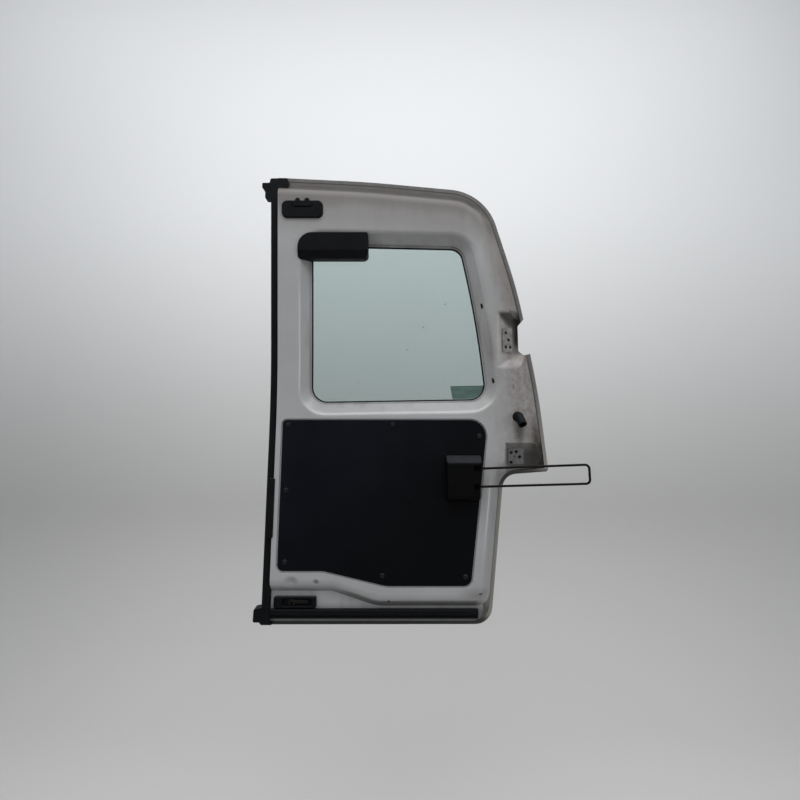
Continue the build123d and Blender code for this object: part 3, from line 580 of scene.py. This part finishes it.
def lens(name):
    """Red moulded lens with fine prisms."""
    shade = Shade(name)
    prism = shade.cells(LENS_PRISMS)
    shade.set(Base_Color=shade.mix(shade.ramp(prism, (0.1, 0.6)), LENS, LENS_DEEP),
              Roughness=0.15, Coat_Weight=0.6)
    shade.bump((prism, 0.4, 0.0005))
    return shade.material


def studio_wall(name):
    """Matte backdrop with painted light: paler towards the top."""
    shade = Shade(name)
    height = shade.ramp(shade.split(shade.place)["Z"], SWEEP_SHADING_Z)
    shade.set(Base_Color=shade.mix(height, SWEEP_LOW, SWEEP_HIGH), Roughness=0.8)
    return shade.material


def dress(material, *names):
    """Give nodes of the part this material alone."""
    for name in names:
        nodes[name].data.materials.clear()
        nodes[name].data.materials.append(material)


dress(body_paint("inner_paint"), "inner_panel")
dress(outer_paint("outer_paint_mat"), "outer_skin")
dress(window_glass("window_glass_mat"), "window_glass")
dress(trim_board("trim_board_mat"), "trim_panel")
dress(black_plastic("clip_plastic", CLIP_PLASTIC, rough=0.3, gloss=0.3), "trim_clips")
dress(black_plastic("housing_plastic", HOUSING_PLASTIC, rough=0.55, gloss=0.055), "check_housing")
dress(black_plastic("moulding_plastic"), "release_lever", "upper_latch_cover", "upper_latch_fork",
      "lower_latch_case", "brake_light_cover")
dress(rubber("seal_rubber_mat"), "glass_bead", "check_bush_upper", "check_bush_lower", "edge_seal_upper",
      "edge_seal_lower", "bottom_seal", "top_corner_cap", "bottom_corner_cap", "wiring_grommet")
dress(coated_wire("coated_wire_mat"), "check_loop")
dress(latch_steel("latch_steel_mat"), "lower_latch_claw")
dress(plate_paint("plate_paint_mat", PLATE, PLATE_WORN), "upper_hinge_plate")
dress(plate_paint("dark_plate_mat", LOWER_PLATE, LOWER_PLATE_WORN), "lower_hinge_plate")
dress(lens("red_lens_mat"), "brake_light_lens")


def smooth_sheet(name, verts, faces, material):
    """Add an open, smooth mesh to the scene."""
    mesh = bpy.data.meshes.new(name)
    mesh.from_pydata(verts, [], faces)
    for polygon in mesh.polygons:
        polygon.use_smooth = True
    mesh.materials.append(material)
    item = bpy.data.objects.new(name, mesh)
    scene.collection.objects.link(item)
    return item


def film_patch():
    """Thin sheet in the window's lower hinge-side corner, bent with the glass, rounded with the bead."""
    low = FILM_ARC_Z - FILM_ARC_RADIUS
    bend = BEND_RADIUS + FILM_DEPTH
    verts = []
    for row in range(FILM_ROWS + 1):
        up = (row / FILM_ROWS) ** 2
        level = low + (FILM_TOP - low) * up
        left = FILM_LEFT + FILM_LEAN * (1 - up)
        right = FILM_ARC_X + math.sqrt(max(0.0, FILM_ARC_RADIUS ** 2 - (FILM_ARC_Z - level) ** 2))
        for column in range(FILM_COLUMNS + 1):
            x = left + (right - left) * column / FILM_COLUMNS
            z = level + (x - FILM_ARC_X) * SILL_SLOPE
            turn = math.asin((BEND_TOP - z) / bend)
            verts.append((x, FACE_Y - BEND_RADIUS + bend * math.cos(turn), z))
    faces = []
    for row in range(FILM_ROWS):
        for column in range(FILM_COLUMNS):
            first = row * (FILM_COLUMNS + 1) + column
            above = first + FILM_COLUMNS + 1
            faces.append((first, first + 1, above + 1, above))
    patch = smooth_sheet("film_patch", verts, faces, green_film("green_film_mat"))
    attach(patch, "door")


film_patch()


# Studio: one pale sweep of floor and wall, soft lamps, camera at the photograph's angle
def sweep_wall():
    """Floor and back wall joined by a large radius, wide enough to fill every view."""
    path = [(FLOOR_FRONT, FLOOR_Z)]
    for step in range(SWEEP_STEPS + 1):
        turn = math.radians(90 * step / SWEEP_STEPS)
        path.append((WALL_Y - SWEEP_RADIUS + SWEEP_RADIUS * math.sin(turn),
                     FLOOR_Z + SWEEP_RADIUS - SWEEP_RADIUS * math.cos(turn)))
    path.append((WALL_Y, WALL_TOP))
    verts = [(side, y, z) for y, z in path for side in (-SWEEP_HALF_WIDTH, SWEEP_HALF_WIDTH)]
    faces = [(2 * i, 2 * i + 1, 2 * i + 3, 2 * i + 2) for i in range(len(path) - 1)]
    return smooth_sheet("studio_sweep", verts, faces, studio_wall("studio_wall"))


sweep_wall()


def lamp(name, place, aim, size, power, spread=180):
    """Soft lamp that isn't seen through the window; spread is the width of its beam in degrees."""
    data = bpy.data.lights.new(name, "AREA")
    data.shape = "RECTANGLE"
    data.size, data.size_y = size
    data.energy = power
    data.spread = math.radians(spread)
    item = bpy.data.objects.new(name, data)
    item.visible_transmission = False
    item.location = place
    item.rotation_euler = (Vector(aim) - Vector(place)).to_track_quat("-Z", "Y").to_euler()
    scene.collection.objects.link(item)


lamp("ceiling_soft", place=(-0.3, -0.6, 2.3), aim=(-0.3, -0.4, 0), size=(3.2, 1.6), power=48)
lamp("key_soft", place=(-0.5, -1.6, 2.3), aim=(-0.3, 0, 0.1), size=(2.4, 1.2), power=20)
lamp("right_fill", place=(3.6, -2.8, 0.5), aim=(-0.3, 0, 0.0), size=(1.6, 2.0), power=36)
lamp("left_fill", place=(-2.6, -1.9, 0.2), aim=(-0.3, 0, 0.0), size=(1.2, 1.8), power=7)
lamp("back_wash", place=(-0.5, 0.5, 2.7), aim=(-0.5, 1.6, 1.4), size=(5.0, 0.6), power=21)
lamp("rear_soft", place=(-0.3, 1.2, 2.7), aim=(-0.3, 0, 0.3), size=(2.6, 0.6), power=16, spread=90)

world = bpy.data.worlds.new("studio_world")
world.use_nodes = True
sky = world.node_tree.nodes["Background"]
sky.inputs["Color"].default_value = SKY
sky.inputs["Strength"].default_value = SKY_STRENGTH
scene.world = world

camera = bpy.data.cameras.new("photo_camera")
camera.sensor_width = SENSOR_WIDTH
camera.lens = SENSOR_WIDTH * FOCAL_PIXELS / PHOTO_WIDTH
camera_object = bpy.data.objects.new("photo_camera", camera)
camera_object.location = CAMERA_PLACE
camera_object.rotation_euler = (math.radians(90), 0, 0)
scene.collection.objects.link(camera_object)
scene.camera = camera_object
scene.view_settings.view_transform = "Standard"
